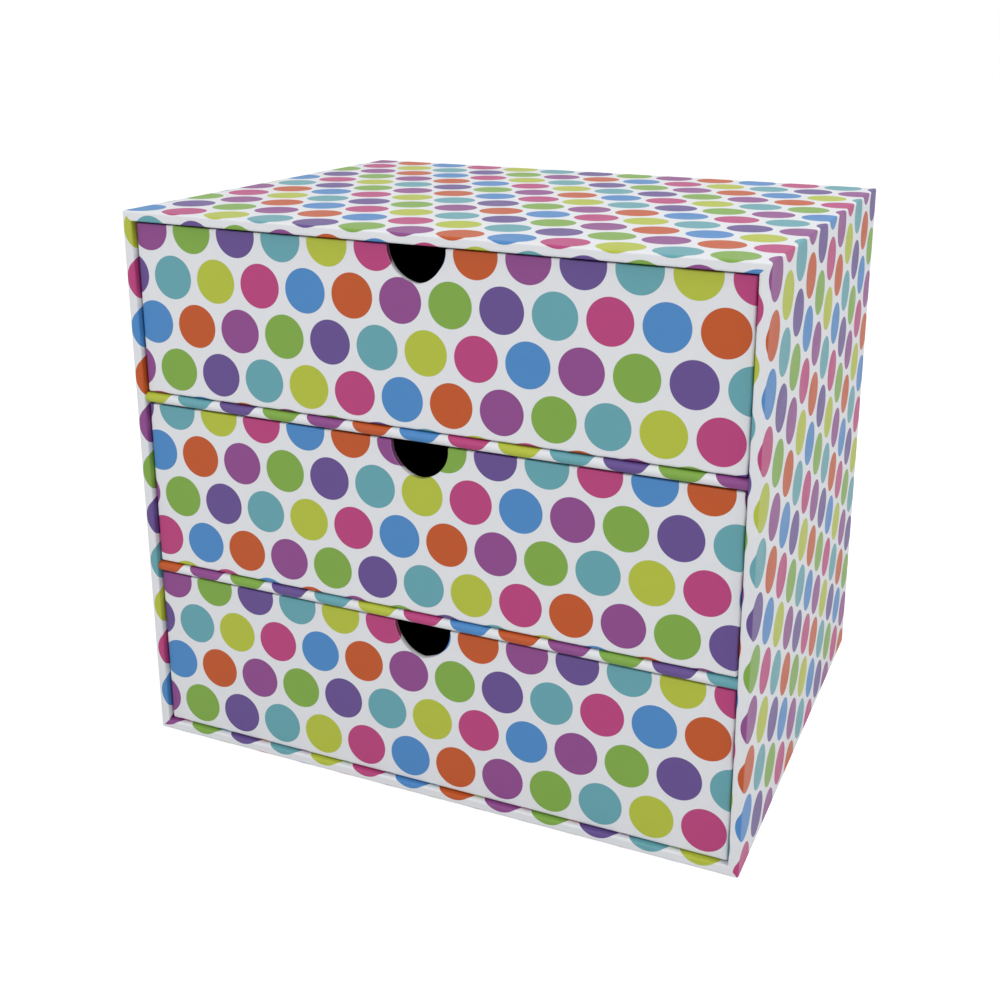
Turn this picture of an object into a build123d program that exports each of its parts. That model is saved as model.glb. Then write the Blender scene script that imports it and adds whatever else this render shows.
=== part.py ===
from build123d import *
import os

# Paper-covered greyboard case with three pull-out drawers, in millimetres.
#
# The origin is the centre of the underside, +Z is up and the drawers face -Y.
# Every wall is built from the outside in: cover paper, greyboard, and cover paper
# turned in at the front, with black lining paper behind the turn-in.

os.makedirs("parts", exist_ok=True)

# ---- driving dimensions -------------------------------------------------------
case_width = 330.0
case_depth = 259.0
case_height = 290.0
board = 2.4              # one ply of greyboard
paper = 0.2              # one sheet of cover, lining or base paper
case_fold = 1.0          # outer radius of the cover paper at the case's edges
turn_in = 18.0           # cover paper folded into the bays and onto the back
base_inset = 6.0         # border of cover paper left round the base paper

bay_count = 3
shelf_board = 4.8
shelf_fold = 2.4         # outer radius of the paper round a shelf's front edge
shelf_recess = 1.0       # shelf edge behind the front of the case

drawer_recess = 2.6      # drawer front behind the front of the case
side_gap = 0.9           # drawer to bay, each side
under_gap = 0.35         # drawer to shelf below it
over_gap = 1.0           # drawer rim to shelf above it
back_gap = 3.0           # drawer to the back of the bay
drawer_fold = 1.2        # outer radius of the cover paper at the drawer's edges
rim_fold = 0.6           # and over its rim
drawer_turn_in = 20.0    # cover paper folded over the rim and under the floor
drawer_base_inset = 4.0

notch_radius = 15.4      # thumb notch, finished with paper
notch_drop = 2.1         # its centre below the rim

# ---- worked out from them -----------------------------------------------------
wall = 2 * board + 2 * paper                 # finished side wall, top or floor
shelf = shelf_board + 2 * paper              # finished shelf
floor_top = wall + paper                     # the base paper lies under the floor
bay_height = (case_height - floor_top - wall - (bay_count - 1) * shelf) / bay_count
bay_half_width = case_width / 2 - wall
front = -case_depth / 2
back = case_depth / 2
bay_front = front + turn_in                  # where the lining paper starts
back_board_rear = back - 2 * paper
back_board_face = back_board_rear - board
bay_floors = [floor_top + i * (bay_height + shelf) for i in range(bay_count)]
levels = ["lower", "middle", "upper"]

drawer_half_width = bay_half_width - side_gap
drawer_front = front + drawer_recess
drawer_back = back_board_face - paper - back_gap
drawer_height = bay_height - under_gap - over_gap
drawer_wall = board + 2 * paper


def save(piece, name):
    """Label a finished piece and write it as its own file."""
    piece.label = name
    export_step(piece, f"parts/{name}.step")


def block(low, high, mode=Mode.ADD):
    """Add a box between two corners to the part being built."""
    middle = tuple((a + b) / 2 for a, b in zip(low, high))
    sizes = [b - a for a, b in zip(low, high)]
    with Locations(middle):
        Box(*sizes, mode=mode)


def pocket(low, high):
    """Cut a box between two corners from the part being built."""
    block(low, high, Mode.SUBTRACT)


# ---- case: the two forms between which the cover paper lies ---------------------
def case_form(skin):
    """Closed case with a shallow front opening, shrunk by the thickness skin."""
    x = case_width / 2 - skin
    opening = bay_half_width + skin
    with BuildPart() as form:
        block((-x, front + skin, paper + skin), (x, back - paper - skin, case_height - skin))
        fillet(form.edges(), case_fold - skin)
        pocket(
            (-opening, front, floor_top - skin),
            (opening, bay_front, case_height - wall + skin),
        )
        mouth = form.edges().filter_by(
            lambda e: abs(e.center().Y - front - skin) < 0.01
            and abs(e.center().X) <= opening + 0.01
            and floor_top - 0.5 < e.center().Z < case_height - wall + 0.5
        )
        fillet(mouth, case_fold - skin)
    return form.part


cover_outside = case_form(0)
cover_inside = case_form(paper)

with BuildPart() as case_wrap:
    add(cover_outside)
    add(cover_inside, mode=Mode.SUBTRACT)
    for bay_floor in bay_floors[1:]:
        pocket(
            (-bay_half_width - paper, front + shelf_recess, bay_floor - shelf),
            (bay_half_width + paper, bay_front, bay_floor),
        )
    pocket(
        (-case_width / 2 + turn_in, back - 2 * paper, turn_in),
        (case_width / 2 - turn_in, back - paper, case_height - turn_in),
    )
save(case_wrap.part, "case_wrap")


def case_board(name, low, high):
    """Board of the case, with its outer edges eased under the cover paper."""
    with BuildPart() as panel:
        block(low, high)
        add(cover_inside, mode=Mode.INTERSECT)
    save(panel.part, name)


outer_x = case_width / 2 - paper
inner_x = outer_x - board
lining_x = inner_x - board
outer_low, inner_low = 2 * paper, 2 * paper + board
outer_high, inner_high = case_height - paper, case_height - paper - board
board_front = front + paper

case_board(
    "case_bottom_board",
    (-outer_x, board_front, outer_low),
    (outer_x, back_board_rear, inner_low),
)
case_board(
    "case_top_board",
    (-outer_x, board_front, inner_high),
    (outer_x, back_board_rear, outer_high),
)
case_board(
    "case_left_board",
    (-outer_x, board_front, inner_low),
    (-inner_x, back_board_rear, inner_high),
)
case_board(
    "case_right_board",
    (inner_x, board_front, inner_low),
    (outer_x, back_board_rear, inner_high),
)
case_board(
    "case_back_board",
    (-inner_x, back_board_face, inner_low),
    (inner_x, back_board_rear, inner_high),
)
case_board(
    "floor_ply",
    (-inner_x, board_front, inner_low),
    (inner_x, back_board_face, inner_low + board),
)
case_board(
    "roof_ply",
    (-inner_x, board_front, inner_high - board),
    (inner_x, back_board_face, inner_high),
)

# Inner plies of the side walls: each shelf lies on one pair and under the next.
for level, bay_floor in zip(levels, bay_floors):
    spacer_low = bay_floor - paper
    spacer_high = bay_floor + bay_height + paper
    case_board(
        f"left_spacer_{level}",
        (-inner_x, board_front, spacer_low),
        (-lining_x, back_board_face, spacer_high),
    )
    case_board(
        f"right_spacer_{level}",
        (lining_x, board_front, spacer_low),
        (inner_x, back_board_face, spacer_high),
    )

# ---- papers outside the case ----------------------------------------------------
with BuildPart() as base_paper:
    block(
        (-case_width / 2 + base_inset, front + base_inset, 0),
        (case_width / 2 - base_inset, back - base_inset, paper),
    )
save(base_paper.part, "base_paper")

with BuildPart() as back_paper:
    block(
        (-case_width / 2 + base_inset, back - paper, base_inset),
        (case_width / 2 - base_inset, back, case_height - base_inset),
    )
    block(
        (-case_width / 2 + turn_in, back_board_rear, turn_in),
        (case_width / 2 - turn_in, back - paper, case_height - turn_in),
    )
save(back_paper.part, "back_paper")


# ---- shelves --------------------------------------------------------------------
def shelf_form(half_width, skin, rear):
    """Shelf with a rounded front edge, shrunk by the thickness skin."""
    shelf_front = front + shelf_recess + skin
    with BuildPart() as form:
        block((-half_width, shelf_front, skin), (half_width, rear, shelf - skin))
        nose = form.edges().filter_by(Axis.X).group_by(Axis.Y)[0]
        fillet(nose, shelf_fold - skin)
    return form.part


for name, bay_floor in zip(["lower_shelf", "upper_shelf"], bay_floors[1:]):
    shelf_place = Location((0, 0, bay_floor - shelf))
    with BuildPart() as shelf_panel:
        add(shelf_form(inner_x, paper, back_board_face).located(shelf_place))
    save(shelf_panel.part, f"{name}_board")

    with BuildPart() as shelf_wrap:
        add(shelf_form(bay_half_width, 0, bay_front).located(shelf_place))
        add(
            shelf_form(bay_half_width, paper, bay_front).located(shelf_place),
            mode=Mode.SUBTRACT,
        )
    save(shelf_wrap.part, f"{name}_wrap")

# ---- black lining of each bay ---------------------------------------------------
for level, bay_floor in zip(levels, bay_floors):
    with BuildPart() as bay_lining:
        block(
            (-lining_x, bay_front, bay_floor - paper),
            (lining_x, back_board_face, bay_floor + bay_height + paper),
        )
        pocket(
            (-bay_half_width, bay_front, bay_floor),
            (bay_half_width, back_board_face - paper, bay_floor + bay_height),
        )
    save(bay_lining.part, f"bay_lining_{level}")


# ---- drawers, modelled on the plane z = 0 and lifted into their bays --------------
def drawer_form(skin):
    """Closed drawer with a shallow open top and a notch, shrunk by the thickness skin."""
    x = drawer_half_width - skin
    mouth_x = drawer_half_width - drawer_wall + skin
    mouth_front = drawer_front + drawer_wall - skin
    mouth_back = drawer_back - drawer_wall + skin
    rim = drawer_height - skin
    with BuildPart() as form:
        block((-x, drawer_front + skin, paper + skin), (x, drawer_back - skin, rim))
        rim_edges = form.edges().group_by(Axis.Z)[-1]
        fillet(form.edges() - rim_edges, drawer_fold - skin)
        fillet(form.edges().group_by(Axis.Z)[-1], rim_fold - skin)
        pocket(
            (-mouth_x, mouth_front, drawer_height - drawer_turn_in),
            (mouth_x, mouth_back, drawer_height),
        )
        inner_rim = form.edges().filter_by(
            lambda e: abs(e.center().Z - rim) < 0.01
            and abs(e.center().X) <= mouth_x + 0.01
            and mouth_front - 0.01 <= e.center().Y <= mouth_back + 0.01
        )
        fillet(inner_rim, rim_fold - skin)
        with BuildSketch(Plane.XZ.offset(-drawer_front)):
            with Locations((0, drawer_height - notch_drop)):
                Circle(notch_radius + skin)
            with Locations((0, drawer_height)):
                Rectangle(2 * (notch_radius + skin), 2 * notch_drop)
        extrude(amount=-drawer_wall, mode=Mode.SUBTRACT)
    return form.part


drawer_outside = drawer_form(0)
drawer_inside = drawer_form(paper)

board_x = drawer_half_width - paper
inside_x = board_x - board
side_front = drawer_front + paper + board
side_back = drawer_back - paper - board
board_low, board_top = 2 * paper, drawer_height - paper
floor_board_top = board_low + board
lining_top = drawer_height - drawer_turn_in

drawer_boards = {
    "front_board": (
        (-board_x, drawer_front + paper, board_low),
        (board_x, side_front, board_top),
    ),
    "back_board": (
        (-board_x, side_back, board_low),
        (board_x, drawer_back - paper, board_top),
    ),
    "left_board": ((-board_x, side_front, board_low), (-inside_x, side_back, board_top)),
    "right_board": ((inside_x, side_front, board_low), (board_x, side_back, board_top)),
    "bottom_board": (
        (-inside_x, side_front, board_low),
        (inside_x, side_back, floor_board_top),
    ),
}

with BuildPart() as drawer_wrap:
    add(drawer_outside)
    add(drawer_inside, mode=Mode.SUBTRACT)
    pocket(
        (-drawer_half_width + drawer_turn_in, drawer_front + drawer_turn_in, paper),
        (drawer_half_width - drawer_turn_in, drawer_back - drawer_turn_in, 2 * paper),
    )

with BuildPart() as drawer_lining:
    block((-inside_x, side_front, floor_board_top), (inside_x, side_back, lining_top))
    pocket(
        (-inside_x + paper, side_front + paper, floor_board_top + paper),
        (inside_x - paper, side_back - paper, lining_top),
    )

with BuildPart() as drawer_base_paper:
    block(
        (-drawer_half_width + drawer_base_inset, drawer_front + drawer_base_inset, 0),
        (drawer_half_width - drawer_base_inset, drawer_back - drawer_base_inset, paper),
    )

for level, bay_floor in zip(levels, bay_floors):
    drawer_place = Location((0, 0, bay_floor + under_gap))
    for board_name, (low, high) in drawer_boards.items():
        with BuildPart() as drawer_board:
            block(low, high)
            add(drawer_inside, mode=Mode.INTERSECT)
        save(drawer_board.part.moved(drawer_place), f"{level}_drawer_{board_name}")
    save(drawer_wrap.part.moved(drawer_place), f"{level}_drawer_wrap")
    save(drawer_lining.part.moved(drawer_place), f"{level}_drawer_lining")
    save(drawer_base_paper.part.moved(drawer_place), f"{level}_drawer_base_paper")
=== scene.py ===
import logging
import math
from collections.abc import Callable
from dataclasses import dataclass, field
from enum import Enum

import bmesh
import bpy
import numpy as np
from mathutils import Matrix, Vector


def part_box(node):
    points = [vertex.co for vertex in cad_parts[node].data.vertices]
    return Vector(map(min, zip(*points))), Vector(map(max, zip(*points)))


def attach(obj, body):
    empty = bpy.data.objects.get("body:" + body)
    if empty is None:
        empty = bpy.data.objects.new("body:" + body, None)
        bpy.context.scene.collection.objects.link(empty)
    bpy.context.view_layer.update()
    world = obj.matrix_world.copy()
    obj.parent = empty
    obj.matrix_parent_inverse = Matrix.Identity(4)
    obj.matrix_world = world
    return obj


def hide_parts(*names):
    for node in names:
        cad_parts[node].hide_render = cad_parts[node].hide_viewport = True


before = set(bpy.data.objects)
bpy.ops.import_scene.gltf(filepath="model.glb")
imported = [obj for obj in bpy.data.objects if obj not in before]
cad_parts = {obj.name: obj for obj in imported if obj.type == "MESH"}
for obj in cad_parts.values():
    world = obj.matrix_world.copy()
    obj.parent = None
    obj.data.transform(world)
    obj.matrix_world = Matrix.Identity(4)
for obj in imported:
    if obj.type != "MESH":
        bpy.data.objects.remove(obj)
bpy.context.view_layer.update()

log = logging.getLogger("paper_drawers")

MM = 0.001
WHITE = (1.0, 1.0, 1.0, 1.0)


# ---- nodes and colours ----------------------------------------------------------------


def linear(hex_colour: str) -> tuple[float, float, float, float]:
    """Turn an sRGB hex colour into the linear colour that a socket takes.

    Args:
        hex_colour: Six hex digits with a leading #.

    Returns:
        Linear red, green, blue and an alpha of one.
    """
    parts = [int(hex_colour[i:i + 2], 16) / 255 for i in (1, 3, 5)]
    return (*(c / 12.92 if c <= 0.04045 else ((c + 0.055) / 1.055) ** 2.4 for c in parts), 1.0)


def add_node(tree: bpy.types.NodeTree, kind: str, settings: dict | None = None,
             inputs: dict | None = None) -> bpy.types.Node:
    """Add a node with its settings and links.

    Args:
        tree: The node tree that takes the node.
        kind: The node's type name.
        settings: Properties of the node by name.
        inputs: Values or output sockets, by the input's name or number.

    Returns:
        The new node.
    """
    node = tree.nodes.new(kind)
    for name, value in (settings or {}).items():
        setattr(node, name, value)
    for key, value in (inputs or {}).items():
        if isinstance(value, bpy.types.NodeSocket):
            tree.links.new(value, node.inputs[key])
        else:
            node.inputs[key].default_value = value
    return node


def set_steps(ramp: bpy.types.ColorRamp, colours: list[tuple]) -> None:
    """Fill a colour ramp with equal constant steps.

    Args:
        ramp: The ramp to fill.
        colours: One linear colour for each step, in order.
    """
    ramp.interpolation = "CONSTANT"
    ramp.elements.remove(ramp.elements[1])
    ramp.elements[0].position = 0.0
    ramp.elements[0].color = colours[0]
    for step, colour in enumerate(colours[1:], start=1):
        ramp.elements.new(step / len(colours)).color = colour


# ---- the printed pattern --------------------------------------------------------------


class Ink(Enum):
    """The eight spot colours of the print, in the order in which a row repeats them."""

    TEAL = "#5F9CA6"
    LIME = "#ACB738"
    MAGENTA = "#AF3A74"
    BLUE = "#4581BC"
    ORANGE = "#B74F1B"
    VIOLET = "#854283"
    GREEN = "#77A03F"
    INDIGO = "#5D4686"


@dataclass(frozen=True)
class PolkaDots:
    """Staggered rows of dots that repeat over a printing plate of 23 columns and 6 rows."""

    pitch: float = 25.9 * MM
    row_pitch: float = 23.95 * MM
    radius: float = 11.1 * MM
    edge: float = 0.12 * MM
    plate_columns: int = 23
    plate_edge: float = 8.75
    row_starts: tuple[Ink, ...] = (
        Ink.VIOLET, Ink.INDIGO, Ink.BLUE, Ink.VIOLET, Ink.MAGENTA, Ink.TEAL)

    def colour(self, tree: bpy.types.NodeTree, paper: tuple) -> bpy.types.NodeSocket:
        """Build the nodes that print the dots on the paper.

        Args:
            tree: The material's node tree.
            paper: Linear colour of the bare paper.

        Returns:
            The socket that gives the printed colour.
        """
        inks = list(Ink)
        sheet = add_node(tree, "ShaderNodeUVMap", {"uv_map": SHEET_MAP})
        place = add_node(tree, "ShaderNodeSeparateXYZ", None, {0: sheet.outputs["UV"]})
        rows = add_node(tree, "ShaderNodeMath", {"operation": "DIVIDE"},
                        {0: place.outputs["Y"], 1: self.row_pitch})
        row = add_node(tree, "ShaderNodeMath", {"operation": "ROUND"}, {0: rows.outputs[0]})
        odd = add_node(tree, "ShaderNodeMath", {"operation": "FLOORED_MODULO"},
                       {0: row.outputs[0], 1: 2.0})
        stagger = add_node(tree, "ShaderNodeMath", {"operation": "MULTIPLY"},
                           {0: odd.outputs[0], 1: 0.5})
        even_columns = add_node(tree, "ShaderNodeMath", {"operation": "DIVIDE"},
                                {0: place.outputs["X"], 1: self.pitch})
        columns = add_node(tree, "ShaderNodeMath", {"operation": "ADD"},
                           {0: even_columns.outputs[0], 1: stagger.outputs[0]})
        column = add_node(tree, "ShaderNodeMath", {"operation": "ROUND"}, {0: columns.outputs[0]})

        off_column = add_node(tree, "ShaderNodeMath", {"operation": "SUBTRACT"},
                              {0: columns.outputs[0], 1: column.outputs[0]})
        off_row = add_node(tree, "ShaderNodeMath", {"operation": "SUBTRACT"},
                           {0: rows.outputs[0], 1: row.outputs[0]})
        offset = add_node(tree, "ShaderNodeCombineXYZ", None,
                          {"X": off_column.outputs[0], "Y": off_row.outputs[0]})
        true_offset = add_node(tree, "ShaderNodeVectorMath", {"operation": "MULTIPLY"},
                               {0: offset.outputs[0], 1: (self.pitch, self.row_pitch, 0.0)})
        reach = add_node(tree, "ShaderNodeVectorMath", {"operation": "LENGTH"},
                         {0: true_offset.outputs[0]})
        inside = add_node(tree, "ShaderNodeMapRange", {"interpolation_type": "SMOOTHSTEP"}, {
            "Value": reach.outputs["Value"],
            "From Min": self.radius - self.edge,
            "From Max": self.radius + self.edge,
            "To Min": 1.0,
            "To Max": 0.0,
        })

        repeat = len(self.row_starts)
        row_in_plate = add_node(tree, "ShaderNodeMath", {"operation": "FLOORED_MODULO"},
                                {0: row.outputs[0], 1: float(repeat)})
        row_step = add_node(tree, "ShaderNodeMath", {"operation": "MULTIPLY_ADD"},
                            {0: row_in_plate.outputs[0], 1: 1 / repeat, 2: 0.5 / repeat})
        first = add_node(tree, "ShaderNodeValToRGB", None, {"Fac": row_step.outputs[0]})
        steps = [inks.index(ink) / len(inks) for ink in self.row_starts]
        set_steps(first.color_ramp, [(step, step, step, 1.0) for step in steps])

        true_column = add_node(tree, "ShaderNodeMath", {"operation": "SUBTRACT"},
                               {0: column.outputs[0], 1: stagger.outputs[0]})
        plates = add_node(tree, "ShaderNodeMath", {"operation": "MULTIPLY_ADD"}, {
            0: true_column.outputs[0],
            1: 1 / self.plate_columns,
            2: 1 - self.plate_edge / self.plate_columns,
        })
        plate = add_node(tree, "ShaderNodeMath", {"operation": "FLOOR"}, {0: plates.outputs[0]})
        count = add_node(tree, "ShaderNodeMath", {"operation": "ADD"},
                         {0: column.outputs[0], 1: plate.outputs[0]})
        order = add_node(tree, "ShaderNodeMath", {"operation": "MULTIPLY_ADD"},
                         {0: count.outputs[0], 1: 1 / len(inks), 2: first.outputs["Color"]})
        centred = add_node(tree, "ShaderNodeMath", {"operation": "ADD"},
                           {0: order.outputs[0], 1: 0.5 / len(inks)})
        turn = add_node(tree, "ShaderNodeMath", {"operation": "FRACT"}, {0: centred.outputs[0]})
        ink = add_node(tree, "ShaderNodeValToRGB", None, {"Fac": turn.outputs[0]})
        set_steps(ink.color_ramp, [linear(each.value) for each in inks])

        printed = add_node(tree, "ShaderNodeMix", {"data_type": "RGBA"},
                           {"Factor": inside.outputs["Result"], 6: paper, 7: ink.outputs["Color"]})
        return printed.outputs[2]


# ---- finishes -------------------------------------------------------------------------

SHEET_MAP = "sheet"


@dataclass(frozen=True)
class PaperGrain:
    """Depth and size of a paper's surface, from its fibres to the waves left by the glue."""

    fibre: float
    fibre_depth: float
    wave: float
    wave_depth: float

    def normal(self, tree: bpy.types.NodeTree) -> bpy.types.NodeSocket:
        """Build the bump nodes of the surface.

        Args:
            tree: The material's node tree.

        Returns:
            The socket that gives the bumped normal.
        """
        place = add_node(tree, "ShaderNodeTexCoord")
        fibres = add_node(tree, "ShaderNodeTexNoise", None, {
            "Vector": place.outputs["Object"], "Scale": 1 / self.fibre, "Detail": 3.0})
        waves = add_node(tree, "ShaderNodeTexNoise", None, {
            "Vector": place.outputs["Object"], "Scale": 1 / self.wave, "Detail": 1.0})
        wavy = add_node(tree, "ShaderNodeBump", None,
                        {"Height": waves.outputs[0], "Distance": self.wave_depth, "Strength": 1.0})
        rough = add_node(tree, "ShaderNodeBump", None, {
            "Height": fibres.outputs[0],
            "Distance": self.fibre_depth,
            "Strength": 1.0,
            "Normal": wavy.outputs["Normal"],
        })
        return rough.outputs["Normal"]


@dataclass(frozen=True)
class PrintedPaper:
    """Coated art paper, offset printed and laminated with a thin matt film."""

    # Clay-coated paper is smooth and a cool white, offset inks lie flat and even on it, and the
    # matt film over both gives the eye a broad soft sheen that pales the dots at a low angle.
    name: str = "printed_paper_matt_film"
    paper: str = "#DBDDE1"
    roughness: float = 0.5
    roughness_spread: float = 0.08
    ior: float = 1.38
    mottle: float = 14 * MM
    tone_spread: float = 0.025
    dots: PolkaDots = field(default_factory=PolkaDots)
    grain: PaperGrain = PaperGrain(
        fibre=1.3 * MM, fibre_depth=0.006 * MM, wave=38 * MM, wave_depth=0.25 * MM)

    def material(self) -> bpy.types.Material:
        """Make the material.

        Returns:
            The new material.
        """
        made = bpy.data.materials.new(self.name)
        made.use_nodes = True
        tree = made.node_tree
        tree.nodes.clear()
        printed = self.dots.colour(tree, linear(self.paper))
        place = add_node(tree, "ShaderNodeTexCoord")
        cloud = add_node(tree, "ShaderNodeTexNoise", None, {
            "Vector": place.outputs["Object"], "Scale": 1 / self.mottle, "Detail": 4.0})
        shade = add_node(tree, "ShaderNodeMapRange", None,
                         {"Value": cloud.outputs[0], "To Min": 1 - self.tone_spread,
                          "To Max": 1 + self.tone_spread})
        toned = add_node(tree, "ShaderNodeVectorMath", {"operation": "SCALE"},
                         {0: printed, "Scale": shade.outputs["Result"]})
        gloss = add_node(tree, "ShaderNodeMapRange", None, {
            "Value": cloud.outputs[0],
            "To Min": self.roughness - self.roughness_spread,
            "To Max": self.roughness + self.roughness_spread,
        })
        surface = add_node(tree, "ShaderNodeBsdfPrincipled", None, {
            "Base Color": toned.outputs["Vector"],
            "Roughness": gloss.outputs["Result"],
            "IOR": self.ior,
            "Normal": self.grain.normal(tree),
        })
        add_node(tree, "ShaderNodeOutputMaterial", None, {"Surface": surface.outputs[0]})
        return made


@dataclass(frozen=True)
class PlainPaper:
    """Uncoated paper or board: matt, with fibres that mottle its tone."""

    name: str
    colour: str
    fleck: str
    roughness: float
    fleck_size: float
    grain: PaperGrain
    fleck_band: tuple[float, float] = (0.35, 0.75)
    specular: float = 0.25

    def material(self) -> bpy.types.Material:
        """Make the material.

        Returns:
            The new material.
        """
        made = bpy.data.materials.new(self.name)
        made.use_nodes = True
        tree = made.node_tree
        tree.nodes.clear()
        place = add_node(tree, "ShaderNodeTexCoord")
        flecks = add_node(tree, "ShaderNodeTexNoise", None, {
            "Vector": place.outputs["Object"], "Scale": 1 / self.fleck_size, "Detail": 6.0})
        bare, full = self.fleck_band
        share = add_node(tree, "ShaderNodeMapRange", None,
                         {"Value": flecks.outputs[0], "From Min": bare, "From Max": full})
        toned = add_node(tree, "ShaderNodeMix", {"data_type": "RGBA"}, {
            "Factor": share.outputs["Result"], 6: linear(self.colour), 7: linear(self.fleck)})
        surface = add_node(tree, "ShaderNodeBsdfPrincipled", None, {
            "Base Color": toned.outputs[2],
            "Roughness": self.roughness,
            "Specular IOR Level": self.specular,
            "Normal": self.grain.normal(tree),
        })
        add_node(tree, "ShaderNodeOutputMaterial", None, {"Surface": surface.outputs[0]})
        return made


# Pressed board of recycled fibre: a warm flecked grey with no sheen and a rough cut edge.
GREYBOARD = PlainPaper(
    name="greyboard_pressed", colour="#8E8C86", fleck="#A5A29A", roughness=0.9,
    fleck_size=1.8 * MM,
    grain=PaperGrain(fibre=0.8 * MM, fibre_depth=0.05 * MM, wave=30 * MM, wave_depth=0.1 * MM))
# Dyed lining paper: a soft charcoal black whose loose fibres catch a little light.
BLACK_PAPER = PlainPaper(
    name="black_lining_paper", colour="#242425", fleck="#2D2D2E", roughness=0.72,
    fleck_size=2.5 * MM,
    grain=PaperGrain(fibre=0.9 * MM, fibre_depth=0.02 * MM, wave=30 * MM, wave_depth=0.1 * MM))
# Uncoated wood-free paper: a warm, dull white that scatters light evenly.
BASE_PAPER = PlainPaper(
    name="white_uncoated_paper", colour="#DEDDD8", fleck="#D2D1CB", roughness=0.85,
    fleck_size=2.0 * MM,
    grain=PaperGrain(fibre=1.0 * MM, fibre_depth=0.02 * MM, wave=40 * MM, wave_depth=0.2 * MM))
# The torn fibres of a cut edge: paler and rougher than the printed face beside them.
PAPER_CORE = PlainPaper(
    name="white_paper_cut_edge", colour="#E6E5E0", fleck="#D8D7D1", roughness=0.85,
    fleck_size=1.0 * MM,
    grain=PaperGrain(fibre=0.7 * MM, fibre_depth=0.02 * MM, wave=20 * MM, wave_depth=0.05 * MM))


# ---- how a cut sheet lies on the print ---------------------------------------------------


class Heading(Enum):
    """How a sheet's across and down directions run on the print."""

    UPRIGHT = (1, 1)
    TURNED = (-1, 1)
    TURNED_BACK = (1, -1)


@dataclass(frozen=True)
class Cut:
    """A cut sheet's place on the print, in millimetres of the flat sheet.

    Attributes:
        column: Distance across the sheet at which a column of even rows lies.
        row: Number of the row that the offsets place.
        offsets: Distance down the sheet of that row, at several distances across it.
        heading: How the sheet is turned.
        drift: How far the glued sheet's columns lie past their even places, at several
            distances across it.
    """

    column: float
    row: int
    offsets: tuple[tuple[float, float], ...]
    heading: Heading = Heading.UPRIGHT
    drift: tuple[tuple[float, float], ...] = ((0.0, 0.0),)

    def on_print(self, across: float, down: float) -> tuple[float, float]:
        """Find where a point of the sheet lies on the print.

        Args:
            across: Distance across the flat sheet in millimetres.
            down: Distance down the flat sheet in millimetres.

        Returns:
            The point's place on the print in metres.
        """
        sideways, downwards = self.heading.value
        row_at = float(np.interp(across, *zip(*self.offsets)))
        column_at = self.column + float(np.interp(across, *zip(*self.drift)))
        right = sideways * (across - column_at) * MM
        below = downwards * (down - row_at) * MM + self.row * PolkaDots.row_pitch
        return right, below


# ---- folding a sheet round boards ----------------------------------------------------------

SHEET_SPACING = 16.0    # largest distance between grid lines on a flat, in mm
FOLD_SUPPORT = 0.5      # distance of the first grid line after a fold, in mm
FOLD_STEPS = 5          # faces round each fold

PrintPlace = tuple[float, float]
Placing = Callable[[int, int], tuple[Vector, PrintPlace]]


@dataclass(frozen=True)
class FoldRow:
    """One row of a folded sheet: two coordinates of its profile and its flat distance."""

    first: float
    second: float
    travel: float


def spread(start: float, end: float, spacing: float = SHEET_SPACING) -> list[float]:
    """Places along a flat stretch: evenly spaced, with one close to each end.

    The close ones keep the shading of a fold from reaching into the flat.

    Args:
        start: Where the stretch starts.
        end: Where it ends, after the start.
        spacing: Largest distance between two places.

    Returns:
        The places in order, with both ends.
    """
    if end - start < 4 * FOLD_SUPPORT:
        return [start, end]
    low, high = start + FOLD_SUPPORT, end - FOLD_SUPPORT
    count = max(1, math.ceil((high - low) / spacing))
    return [start, *(low + (high - low) * i / count for i in range(count + 1)), end]


def fold_rows(corners: list[tuple[float, float]], radii: list[float], zero_corner: int,
              spacing: float = SHEET_SPACING) -> list[FoldRow]:
    """Follow a square-cornered profile with rounded folds.

    Args:
        corners: The profile's ends and sharp corners, in millimetres.
        radii: Radius of the fold at each inner corner.
        zero_corner: Number of the corner at which the flat distance is zero.
        spacing: Largest distance between rows on the flats.

    Returns:
        The rows in order.
    """
    points = [Vector(c) for c in corners]
    lengths = [(b - a).length for a, b in zip(points, points[1:])]
    at_corner = [sum(lengths[:i]) for i in range(len(points))]
    rows = []
    for i, length in enumerate(lengths):
        heading = (points[i + 1] - points[i]) / length
        start = radii[i - 1] if i > 0 else 0.0
        end = length - (radii[i] if i < len(lengths) - 1 else 0.0)
        for along in spread(start, end, spacing):
            spot = points[i] + heading * along
            rows.append(FoldRow(spot.x, spot.y, at_corner[i] + along - at_corner[zero_corner]))
        if i == len(lengths) - 1:
            break
        onward = (points[i + 2] - points[i + 1]) / lengths[i + 1]
        radius = radii[i]
        centre = points[i + 1] + (onward - heading) * radius
        for step in range(1, FOLD_STEPS):
            share = step / FOLD_STEPS
            angle = share * math.pi / 2
            spot = centre + (heading * math.sin(angle) - onward * math.cos(angle)) * radius
            flat = at_corner[i + 1] + (2 * share - 1) * radius
            rows.append(FoldRow(spot.x, spot.y, flat - at_corner[zero_corner]))
    return rows


@dataclass(frozen=True)
class LoopColumn:
    """One column of a sheet that goes round a box: its wall, and its place along or round it."""

    wall: int
    along: float
    turn: float | None = None


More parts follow.
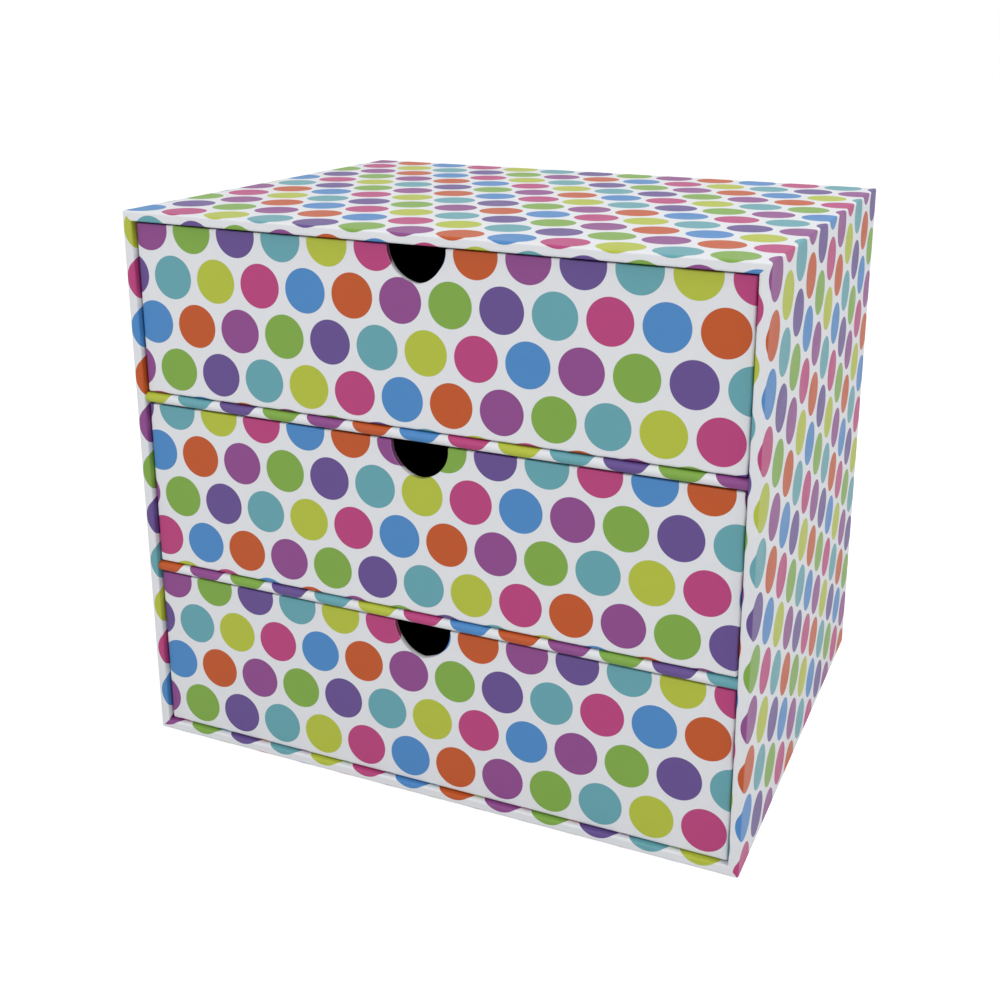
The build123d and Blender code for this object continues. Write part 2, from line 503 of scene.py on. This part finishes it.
@dataclass(frozen=True)
class BoxLoop:
    """The four walls of a box, followed clockwise from a seam at one corner.

    Attributes:
        low: Lowest corner in the loop's own two coordinates, in millimetres.
        high: Highest corner.
        radius: Radius of the box's corners.
        first_wall: Wall after the seam: 0 runs right along the top, 1 down, 2 left, 3 up.
        start_across: Flat distance across the sheet at the seam.
    """

    low: tuple[float, float]
    high: tuple[float, float]
    radius: float
    first_wall: int
    start_across: float

    def walls(self) -> list[tuple[Vector, Vector, float, float]]:
        """Follow the walls from the seam on.

        Returns:
            Each wall's start corner, heading, length and flat distance across the sheet.
        """
        (left, bottom), (right, top) = self.low, self.high
        width, height = right - left, top - bottom
        clockwise = [
            (Vector((left, top)), Vector((1, 0)), width),
            (Vector((right, top)), Vector((0, -1)), height),
            (Vector((right, bottom)), Vector((-1, 0)), width),
            (Vector((left, bottom)), Vector((0, 1)), height),
        ]
        ordered = clockwise[self.first_wall:] + clockwise[:self.first_wall]
        across, result = self.start_across, []
        for corner, heading, length in ordered:
            result.append((corner, heading, length, across))
            across += length
        return result

    def columns(self) -> list[LoopColumn]:
        """Lay out the sheet's columns along the walls and round the corners.

        Returns:
            The columns in order, with the corner at the seam at the end.
        """
        made, walls = [], self.walls()
        for number, (_, _, length, _) in enumerate(walls):
            places = spread(self.radius, length - self.radius)
            made += [LoopColumn(number, along) for along in places]
            last = FOLD_STEPS + (1 if number == len(walls) - 1 else 0)
            made += [LoopColumn(number, length, step / FOLD_STEPS) for step in range(1, last)]
        return made

    def place(self, column: LoopColumn, inset: float) -> tuple[Vector, float]:
        """Find a column's place when the sheet lies some way inside the box.

        Args:
            column: The column.
            inset: Distance of the sheet inside the box's outer faces.

        Returns:
            The place in the loop's two coordinates, and the flat distance across the sheet.
        """
        corner, heading, length, across = self.walls()[column.wall]
        outward = Vector((-heading.y, heading.x))
        margin = max(inset, self.radius)
        if column.turn is None:
            along = min(max(column.along, margin), length - margin)
            return corner + heading * along - outward * inset, across + along
        core = corner + heading * (length - margin) - outward * margin
        angle = column.turn * math.pi / 2
        spoke = outward * math.cos(angle) + heading * math.sin(angle)
        reach = max(self.radius - inset, 0.0)
        return core + spoke * reach, across + length + (2 * column.turn - 1) * margin


class FoldedSheet:
    """A sheet of cover paper: a flat grid that is folded over its boards."""

    thickness = 0.2 * MM
    weld = 0.002 * MM
    sliver = 0.001 * MM
    sharp_angle = math.radians(40)

    def __init__(self, name: str, columns: int, rows: int) -> None:
        """Start with a flat grid.

        Args:
            name: Name of the piece.
            columns: Number of columns of points.
            rows: Number of rows of points.
        """
        self.name = name
        self.columns = columns
        self.mesh = bmesh.new()
        bmesh.ops.create_grid(self.mesh, x_segments=columns - 1, y_segments=rows - 1, size=1.0)
        self.mesh.verts.ensure_lookup_table()

    def fold(self, place: Placing) -> None:
        """Move each point of the grid to its place and note its place on the print.

        Args:
            place: Function of column and row numbers that gives the point in metres and its
                place on the print.
        """
        on_print = {}
        for number, vertex in enumerate(self.mesh.verts):
            row, column = divmod(number, self.columns)
            vertex.co, on_print[vertex] = place(column, row)
        sheet = self.mesh.loops.layers.uv.new(SHEET_MAP)
        for face in self.mesh.faces:
            for loop in face.loops:
                loop[sheet].uv = on_print[loop.vert]
        bmesh.ops.remove_doubles(self.mesh, verts=self.mesh.verts, dist=self.weld)
        bmesh.ops.dissolve_degenerate(self.mesh, edges=self.mesh.edges, dist=self.sliver)

    def face_out(self, outward: Callable[[Vector], Vector]) -> None:
        """Turn all faces so that they point outwards.

        Args:
            outward: Function of a face's centre that gives an outward direction for most faces.
        """
        self.mesh.normal_update()
        facing = sum(face.calc_area() * face.normal.dot(outward(face.calc_center_median()))
                     for face in self.mesh.faces)
        if facing < 0:
            bmesh.ops.reverse_faces(self.mesh, faces=self.mesh.faces)

    def finish(self, materials: list[bpy.types.Material]) -> bpy.types.Object:
        """Give the paper its thickness, towards its boards, and make the object.

        Args:
            materials: The printed face, and the paper's core for its back and cut edges.

        Returns:
            The object.
        """
        data = bpy.data.meshes.new(self.name)
        self.mesh.to_mesh(data)
        self.mesh.free()
        for each in materials:
            data.materials.append(each)
        made = bpy.data.objects.new(self.name, data)
        bpy.context.scene.collection.objects.link(made)
        wall = made.modifiers.new("paper_thickness", "SOLIDIFY")
        wall.thickness = self.thickness
        wall.offset = -1.0
        wall.use_even_offset = True
        wall.material_offset = 1
        wall.material_offset_rim = 1
        for polygon in data.polygons:
            polygon.use_smooth = True
        data.set_sharp_from_angle(angle=self.sharp_angle)
        log.info("%s: %d faces", made.name, len(data.polygons))
        return made


def bake_modifiers(piece: bpy.types.Object) -> None:
    """Replace a piece's mesh by what its modifiers make of it.

    Args:
        piece: The piece, whose modifiers are then removed.
    """
    depsgraph = bpy.context.evaluated_depsgraph_get()
    plain = piece.data
    piece.data = bpy.data.meshes.new_from_object(piece.evaluated_get(depsgraph),
                                                 preserve_all_data_layers=True,
                                                 depsgraph=depsgraph)
    piece.modifiers.clear()
    piece.data.name = piece.name
    bpy.data.meshes.remove(plain)


# ---- the paper-covered case ------------------------------------------------------------------


@dataclass(frozen=True)
class Paints:
    """The materials, made once and shared by the pieces."""

    printed: bpy.types.Material
    core: bpy.types.Material
    greyboard: bpy.types.Material
    black: bpy.types.Material
    base: bpy.types.Material

    @classmethod
    def make(cls) -> "Paints":
        """Make every material."""
        return cls(
            printed=PrintedPaper().material(),
            core=PAPER_CORE.material(),
            greyboard=GREYBOARD.material(),
            black=BLACK_PAPER.material(),
            base=BASE_PAPER.material(),
        )

    def cover(self) -> list[bpy.types.Material]:
        """The printed face and the core of a sheet of cover paper."""
        return [self.printed, self.core]


def corners_in_mm(node: str) -> tuple[Vector, Vector]:
    """A CAD node's lowest and highest corners in millimetres."""
    low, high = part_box(node)
    return low / MM, high / MM


def dress(node: str, material: bpy.types.Material) -> None:
    """Give a CAD node its material.

    Args:
        node: The node's name.
        material: The material for all its slots.
    """
    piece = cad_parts[node]
    piece.data.materials.clear()
    piece.data.materials.append(material)


@dataclass
class Case:
    """The outer case: boards, cover paper folded round them, shelves and lining."""

    paints: Paints
    wall: float = 5.2
    fold: float = 1.0
    turn_in: float = 18.0
    back_inset: float = 6.0
    back_step: float = 1.2
    back_spacing: float = 25.0
    cover_cut: Cut = Cut(
        column=535.2,
        row=3,
        offsets=((-620, 10.9), (-340, 10.3), (-290, 10.9), (-230, 11.4), (-150, 12.2),
                 (-10, 12.4), (30, 10.6), (150, 9.3), (330, 9.8), (345, 10.4), (480, 8.4),
                 (620, 8.3)),
        heading=Heading.TURNED,
        drift=((-620, 4.0), (-300, 0.8), (-20, 0.0), (40, 0.0), (300, -2.0), (331, -3.6),
               (400, -5.0), (500, -6.0), (620, -7.9)))
    back_cut: Cut = Cut(column=12.0, row=0, offsets=((0, 9.0), (318, 9.0)))

    def build(self) -> None:
        """Make and dress every piece of the case."""
        self.cover()
        self.back()
        ShelfCover("upper", self.paints,
                   Cut(column=95.25, row=3, offsets=((0, 4.3), (320, 4.3)),
                       heading=Heading.TURNED)).build()
        ShelfCover("lower", self.paints,
                   Cut(column=250.65, row=3, offsets=((0, 4.3), (320, 4.3)),
                       heading=Heading.TURNED_BACK)).build()
        boards = ["case_bottom_board", "case_top_board", "case_left_board", "case_right_board",
                  "case_back_board", "floor_ply", "roof_ply",
                  "lower_shelf_board", "upper_shelf_board"]
        for level in ("lower", "middle", "upper"):
            boards += [f"left_spacer_{level}", f"right_spacer_{level}"]
            dress(f"bay_lining_{level}", self.paints.black)
        for board in boards:
            dress(board, self.paints.greyboard)
        dress("base_paper", self.paints.base)
        log.info("case boards, linings and base paper dressed")

    def cover(self) -> None:
        """Fold the cover paper round the case, over its front edges and onto its back."""
        low, high = corners_in_mm("case_wrap")
        loop = BoxLoop(low=(low.x, low.z), high=(high.x, high.z), radius=self.fold, first_wall=2,
                       start_across=-(high.x - low.x) - (high.z - low.z))
        depth = high.y - low.y
        profile = [(self.wall, self.turn_in), (self.wall, 0.0), (0.0, 0.0), (0.0, depth),
                   (self.turn_in, depth)]
        rows = fold_rows(profile, [self.fold] * 3, zero_corner=2)
        columns = loop.columns()

        def place(column: int, row: int) -> tuple[Vector, PrintPlace]:
            """Place of a grid point round the case, and on the print."""
            spot, across = loop.place(columns[column], rows[row].first)
            point = Vector((spot.x, low.y + rows[row].second, spot.y)) * MM
            return point, self.cover_cut.on_print(across, rows[row].travel)

        sheet = FoldedSheet("case_cover_paper", len(columns), len(rows))
        sheet.fold(place)
        middle = (low + high) / 2 * MM
        sheet.face_out(lambda centre: centre - middle)
        piece = sheet.finish(self.paints.cover())
        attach(piece, "case")
        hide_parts("case_wrap")

    def back(self) -> None:
        """Lay the back paper over the turned-in cover, with the step that shows through it."""
        low, high = corners_in_mm("back_paper")
        edge = self.turn_in - self.back_inset
        width, height = high.x - low.x, high.z - low.z

        def marks(length: float) -> list[float]:
            """Places of the grid's lines along one side."""
            start = edge + self.back_step
            inner = spread(start, length - edge - self.back_step, self.back_spacing)
            return [0.0, edge, *inner, length - edge, length]

        across, down = marks(width), marks(height)

        def place(column: int, row: int) -> tuple[Vector, PrintPlace]:
            """Find the place of a grid point on the back.

            Args:
                column: Number of the point's column.
                row: Number of the point's row.

            Returns:
                The point in metres, sunk inside the step, and its place on the print.
            """
            x, z = across[column], down[row]
            rim = min(x, width - x, z, height - z)
            sunk = 0.0 if rim <= edge else FoldedSheet.thickness / MM
            point = Vector((high.x - x, high.y - sunk, high.z - z)) * MM
            return point, self.back_cut.on_print(x, z)

        sheet = FoldedSheet("case_back_paper", len(across), len(down))
        sheet.fold(place)
        sheet.face_out(lambda centre: Vector((0, 1, 0)))
        piece = sheet.finish(self.paints.cover())
        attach(piece, "case")
        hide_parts("back_paper")


@dataclass
class ShelfCover:
    """Cover paper folded round the front of one shelf, like a sleeve."""

    level: str
    paints: Paints
    cut: Cut
    fold: float = 2.4
    spacing: float = 9.0

    def build(self) -> None:
        """Fold the sleeve."""
        node = f"{self.level}_shelf_wrap"
        low, high = corners_in_mm(node)
        profile = [(high.y, low.z), (low.y, low.z), (low.y, high.z), (high.y, high.z)]
        rows = fold_rows(profile, [self.fold] * 2, zero_corner=2, spacing=self.spacing)
        across = spread(0.0, high.x - low.x)

        def place(column: int, row: int) -> tuple[Vector, PrintPlace]:
            """Place of a grid point on the sleeve, and on the print."""
            point = Vector((low.x + across[column], rows[row].first, rows[row].second)) * MM
            return point, self.cut.on_print(across[column], rows[row].travel)

        sheet = FoldedSheet(f"{self.level}_shelf_cover_paper", len(across), len(rows))
        sheet.fold(place)
        middle = Vector((0, high.y, (low.z + high.z) / 2)) * MM
        sheet.face_out(lambda centre: centre - middle)
        piece = sheet.finish(self.paints.cover())
        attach(piece, "case")
        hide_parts(node)


# ---- drawers ---------------------------------------------------------------------------------


@dataclass
class Drawer:
    """One drawer: boards, cover paper with a thumb notch, lining and base paper.

    Attributes:
        level: The drawer's level in the case.
        paints: The materials.
        cut: Where the cover was cut from the print.
        wall: Thickness of the covered walls in millimetres, as the lengths after it are.
        fold: Radius of the upright and lower edges.
        rim_fold: Radius of the rim's edges.
        turn_in: Depth of the cover inside the rim and under the floor.
        notch_radius: Radius of the thumb notch.
        notch_drop: Depth of the notch's centre below the rim.
        notch_flat: How far the notch's quarter points lie inside its circle.
        notch_wobble: Height of the waves that the cut by hand leaves.
        notch_waves: Number of those waves in a full turn.
        notch_phase: Where they start, in radians.
        notch_steps: Number of points round the notch.
    """

    level: str
    paints: Paints
    cut: Cut
    wall: float = 2.8
    fold: float = 1.2
    rim_fold: float = 0.6
    turn_in: float = 20.0
    notch_radius: float = 15.4
    notch_drop: float = 2.1
    notch_flat: float = 0.9
    notch_wobble: float = 0.10
    notch_waves: int = 5
    notch_phase: float = 1.0
    notch_steps: int = 48

    @property
    def body(self) -> str:
        """Name of the drawer's CAD body."""
        return f"{self.level}_drawer"

    def build(self) -> None:
        """Make and dress every piece of the drawer."""
        cover = self.cover()
        self.cut_notch(cover)
        self.notch_lining()
        for board in ("front", "back", "left", "right", "bottom"):
            dress(f"{self.body}_{board}_board", self.paints.greyboard)
        dress(f"{self.body}_lining", self.paints.black)
        dress(f"{self.body}_base_paper", self.paints.black)
        log.info("%s dressed", self.body)

    def corners(self) -> tuple[Vector, Vector]:
        """Lowest and highest corners of the cover paper in millimetres."""
        return corners_in_mm(f"{self.body}_wrap")

    def case_left(self) -> float:
        """The left edge of the case, from which the print is measured, in millimetres."""
        return corners_in_mm("case_wrap")[0].x

    def cover(self) -> bpy.types.Object:
        """Fold the cover paper round the drawer, over its rim and under its floor.

        Returns:
            The folded cover, not yet notched.
        """
        low, high = self.corners()
        loop = BoxLoop(low=(low.x, -high.y), high=(high.x, -low.y), radius=self.fold,
                       first_wall=3,
                       start_across=low.x - self.case_left() - (high.y - low.y))
        depth = high.z - low.z
        profile = [(self.wall, self.turn_in), (self.wall, 0.0), (0.0, 0.0), (0.0, depth),
                   (self.turn_in, depth)]
        rows = fold_rows(profile, [self.rim_fold, self.rim_fold, self.fold], zero_corner=2)
        columns = loop.columns()

        def place(column: int, row: int) -> tuple[Vector, PrintPlace]:
            """Place of a grid point round the drawer, and on the print."""
            spot, across = loop.place(columns[column], rows[row].first)
            point = Vector((spot.x, -spot.y, high.z - rows[row].second)) * MM
            return point, self.cut.on_print(across, rows[row].travel)

        sheet = FoldedSheet(f"{self.body}_cover_paper", len(columns), len(rows))
        sheet.fold(place)
        middle = (low + high) / 2 * MM
        sheet.face_out(lambda centre: centre - middle)
        piece = sheet.finish(self.paints.cover())
        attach(piece, self.body)
        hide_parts(f"{self.body}_wrap")
        return piece

    def notch_outline(self) -> list[Vector]:
        """Follow the notch from its left end on the rim to its right end, from the front.

        Returns:
            The outline's points across and up the front, in millimetres.
        """
        low, high = self.corners()
        centre = Vector(((low.x + high.x) / 2, high.z - self.notch_drop))
        spokes = []
        for step in range(self.notch_steps + 1):
            angle = math.pi * (1 + step / self.notch_steps)
            wave = self.notch_wobble * math.sin(self.notch_waves * angle + self.notch_phase)
            reach = self.notch_radius + (wave - self.notch_flat * abs(math.sin(2 * angle)))
            spokes.append(Vector((math.cos(angle), math.sin(angle))) * reach)
        rise = Vector((0, self.notch_drop))
        outline = [centre + spoke for spoke in spokes]
        return [outline[0] + rise, *outline, outline[-1] + rise]

    def cut_notch(self, cover: bpy.types.Object) -> None:
        """Cut the thumb notch out of the cover's front wall.

        Args:
            cover: The folded cover paper.
        """
        low, high = self.corners()
        shape = bmesh.new()
        beyond = 5.0
        above = Vector((0, beyond))
        outline = self.notch_outline()
        outline = [outline[0] + above, *outline, outline[-1] + above]
        points = [shape.verts.new(Vector((p.x, low.y - beyond, p.y)) * MM) for p in outline]
        face = shape.faces.new(points)
        pushed = bmesh.ops.extrude_face_region(shape, geom=[face])
        moved = [v for v in pushed["geom"] if isinstance(v, bmesh.types.BMVert)]
        through = Vector((0, beyond + self.wall + beyond, 0)) * MM
        bmesh.ops.translate(shape, verts=moved, vec=through)
        bmesh.ops.recalc_face_normals(shape, faces=shape.faces)
        data = bpy.data.meshes.new("notch_cutter")
        shape.to_mesh(data)
        shape.free()
        for each in self.paints.cover():
            data.materials.append(each)
        for polygon in data.polygons:
            polygon.material_index = 1
        cutter = bpy.data.objects.new("notch_cutter", data)
        bpy.context.scene.collection.objects.link(cutter)
        cutting = cover.modifiers.new("thumb_notch", "BOOLEAN")
        cutting.operation = "DIFFERENCE"
        cutting.solver = "EXACT"
        cutting.object = cutter
        bpy.context.view_layer.update()
        bake_modifiers(cover)
        bpy.data.objects.remove(cutter)
        bpy.data.meshes.remove(data)

    def notch_lining(self) -> None:
        """Turn the front's paper into the notch, over the edge of the board."""
        low, high = self.corners()
        outline = self.notch_outline()
        centre = Vector(((low.x + high.x) / 2, high.z - self.notch_drop))
        # Depth behind the front, and lap onto it, from the lapped edge to the drawer's inside.
        fold = [(-0.02, 0.55), (-0.02, 0.4), (0.03, 0.2), (0.16, 0.05), (0.4, 0.0)]
        profile = [*fold, (1.0, 0.0), (1.9, 0.0), (self.wall - 0.05, 0.0)]

        def place(column: int, row: int) -> tuple[Vector, PrintPlace]:
            """Find the place of a grid point in the notch.

            Args:
                column: Number of the point on the outline.
                row: Number of the point on the profile.

            Returns:
                The point in metres, and its place on the print.
            """
            (depth, lap), spot = profile[row], outline[column]
            inward = centre - spot
            if column in (0, len(outline) - 1):
                inward = Vector((inward.x, 0))
            inward.normalize()
            edge = spot - inward * lap
            flat = edge + inward * max(depth, 0.0)
            point = Vector((edge.x, low.y + depth, edge.y)) * MM
            return point, self.cut.on_print(flat.x - self.case_left(), high.z - flat.y)

        sheet = FoldedSheet(f"{self.body}_notch_paper", len(outline), len(profile))
        sheet.fold(place)
        middle = Vector((centre.x, low.y, centre.y)) * MM
        sheet.face_out(lambda spot: middle - spot)
        piece = sheet.finish(self.paints.cover())
        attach(piece, self.body)


def drawers(paints: Paints) -> list[Drawer]:
    """Set out the three drawers, each with its cover cut from its own place on the print.

    Args:
        paints: The materials.

    Returns:
        The drawers from the top down.
    """
    return [
        Drawer("upper", paints, Cut(column=13.9, row=1, offsets=((0, 26.29), (330, 25.69)))),
        Drawer("middle", paints, Cut(column=10.66, row=2, offsets=((0, 24.68), (330, 25.96))),
               notch_phase=3.1, notch_flat=0.45),
        Drawer("lower", paints, Cut(column=14.18, row=1, offsets=((0, 26.36), (330, 26.80))),
               notch_phase=5.0),
    ]


# ---- floor, light and camera ---------------------------------------------------------------


@dataclass(frozen=True)
class SoftLamp:
    """A square soft lamp that faces the object, with its place and size in metres."""

    name: str
    place: tuple[float, float, float]
    size: float
    power: float
    aim: tuple[float, float, float] = (0.0, 0.0, 0.15)

    def build(self) -> None:
        """Make the lamp."""
        data = bpy.data.lights.new(self.name, "AREA")
        data.shape = "SQUARE"
        data.size = self.size
        data.energy = self.power
        made = bpy.data.objects.new(self.name, data)
        made.location = self.place
        heading = Vector(self.aim) - made.location
        made.rotation_mode = "QUATERNION"
        made.rotation_quaternion = heading.to_track_quat("-Z", "Y")
        bpy.context.scene.collection.objects.link(made)


@dataclass(frozen=True)
class Studio:
    """A white floor and surround with soft even light."""

    surround: float = 0.58
    floor_half: float = 4.0
    floor_albedo: str = "#D2D2D2"
    floor_lift: float = 0.66
    lamps: tuple[SoftLamp, ...] = (
        SoftLamp("front_softbox", (-0.5, -1.7, 1.0), 1.5, 12.5),
        SoftLamp("right_softbox", (1.1, -0.25, 1.35), 0.9, 8.5),
        SoftLamp("top_softbox", (0.30, -0.15, 1.05), 1.1, 1.6),
    )

    def build(self) -> None:
        """Make the floor, the surround and the lamps."""
        self.floor()
        self.world()
        for lamp in self.lamps:
            lamp.build()
        log.info("studio built")

    def seen_directly(self, tree: bpy.types.NodeTree) -> bpy.types.NodeSocket:
        """Build the nodes that tell rays from the camera, from gloss and through glass.

        Args:
            tree: The node tree of the floor or the surround.

        Returns:
            The socket that gives one for those rays and nought for others.
        """
        path = add_node(tree, "ShaderNodeLightPath")
        shown = add_node(tree, "ShaderNodeMath", {"operation": "MAXIMUM"},
                         {0: path.outputs["Is Camera Ray"], 1: path.outputs["Is Glossy Ray"]})
        either = add_node(tree, "ShaderNodeMath", {"operation": "MAXIMUM"},
                          {0: shown.outputs[0], 1: path.outputs["Is Transmission Ray"]})
        return either.outputs[0]

    def floor(self) -> None:
        """A matt white floor, lifted to white where it is seen directly."""
        grid = bmesh.new()
        bmesh.ops.create_grid(grid, x_segments=1, y_segments=1, size=self.floor_half)
        data = bpy.data.meshes.new("studio_floor")
        grid.to_mesh(data)
        grid.free()
        made = bpy.data.materials.new("studio_floor_white")
        made.use_nodes = True
        tree = made.node_tree
        tree.nodes.clear()
        matt = add_node(tree, "ShaderNodeBsdfDiffuse", None, {"Color": linear(self.floor_albedo)})
        lift = add_node(tree, "ShaderNodeEmission", None, {"Strength": self.floor_lift})
        bright = add_node(tree, "ShaderNodeAddShader", None,
                          {0: matt.outputs[0], 1: lift.outputs[0]})
        chosen = add_node(tree, "ShaderNodeMixShader", None, {
            0: self.seen_directly(tree), 1: matt.outputs[0], 2: bright.outputs[0]})
        add_node(tree, "ShaderNodeOutputMaterial", None, {"Surface": chosen.outputs[0]})
        data.materials.append(made)
        floor = bpy.data.objects.new("studio_floor", data)
        bpy.context.scene.collection.objects.link(floor)

    def world(self) -> None:
        """An even surround, white where it is seen directly."""
        made = bpy.data.worlds.new("studio_surround")
        made.use_nodes = True
        tree = made.node_tree
        tree.nodes.clear()
        soft = add_node(tree, "ShaderNodeBackground", None,
                        {"Color": WHITE, "Strength": self.surround})
        white = add_node(tree, "ShaderNodeBackground", None,
                         {"Color": WHITE, "Strength": 1.0})
        chosen = add_node(tree, "ShaderNodeMixShader", None, {
            0: self.seen_directly(tree), 1: soft.outputs[0], 2: white.outputs[0]})
        add_node(tree, "ShaderNodeOutputWorld", None, {"Surface": chosen.outputs[0]})
        bpy.context.scene.world = made


@dataclass(frozen=True)
class Viewpoint:
    """The camera, in front of the case, to its right and above it.

    Attributes:
        place: The camera's place in millimetres.
        azimuth: Turn from the front towards the right, in degrees.
        elevation: Height of the view above the horizon, in degrees.
        roll: Turn about the line of sight, in degrees.
        focal_length: Focal length in millimetres, on a sensor of the next width.
        sensor: Width of the sensor in millimetres.
        shift: Shift of the frame, as shares of its width.
        clip: Nearest and farthest distances seen, in metres.
    """

    place: tuple[float, float, float] = (280.94, -640.19, 386.59)
    azimuth: float = 22.981
    elevation: float = 15.415
    roll: float = 0.455
    focal_length: float = 46.542
    sensor: float = 36.0
    shift: tuple[float, float] = (-0.04234, -0.13029)
    clip: tuple[float, float] = (0.01, 50.0)

    def build(self) -> None:
        """Make the camera."""
        data = bpy.data.cameras.new("camera")
        data.lens = self.focal_length
        data.sensor_width = self.sensor
        data.shift_x, data.shift_y = self.shift
        data.clip_start, data.clip_end = self.clip
        made = bpy.data.objects.new("camera", data)
        az, el = math.radians(self.azimuth), math.radians(self.elevation)
        back = Vector((math.sin(az) * math.cos(el), -math.cos(az) * math.cos(el), math.sin(el)))
        right = Vector((math.cos(az), math.sin(az), 0.0))
        up = back.cross(right)
        turn = Matrix((right, up, back)).transposed().to_4x4()
        turn = turn @ Matrix.Rotation(math.radians(self.roll), 4, "Z")
        made.matrix_world = Matrix.Translation(Vector(self.place) * MM) @ turn
        bpy.context.scene.collection.objects.link(made)
        bpy.context.scene.camera = made
        log.info("camera built")


def main() -> None:
    """Build the object and the studio in order."""
    logging.basicConfig(level=logging.INFO, format="%(name)s: %(message)s")
    bpy.context.scene.view_settings.view_transform = "Standard"
    Viewpoint().build()
    Studio().build()
    paints = Paints.make()
    Case(paints).build()
    for drawer in drawers(paints):
        drawer.build()


if __name__ == "__main__":
    main()
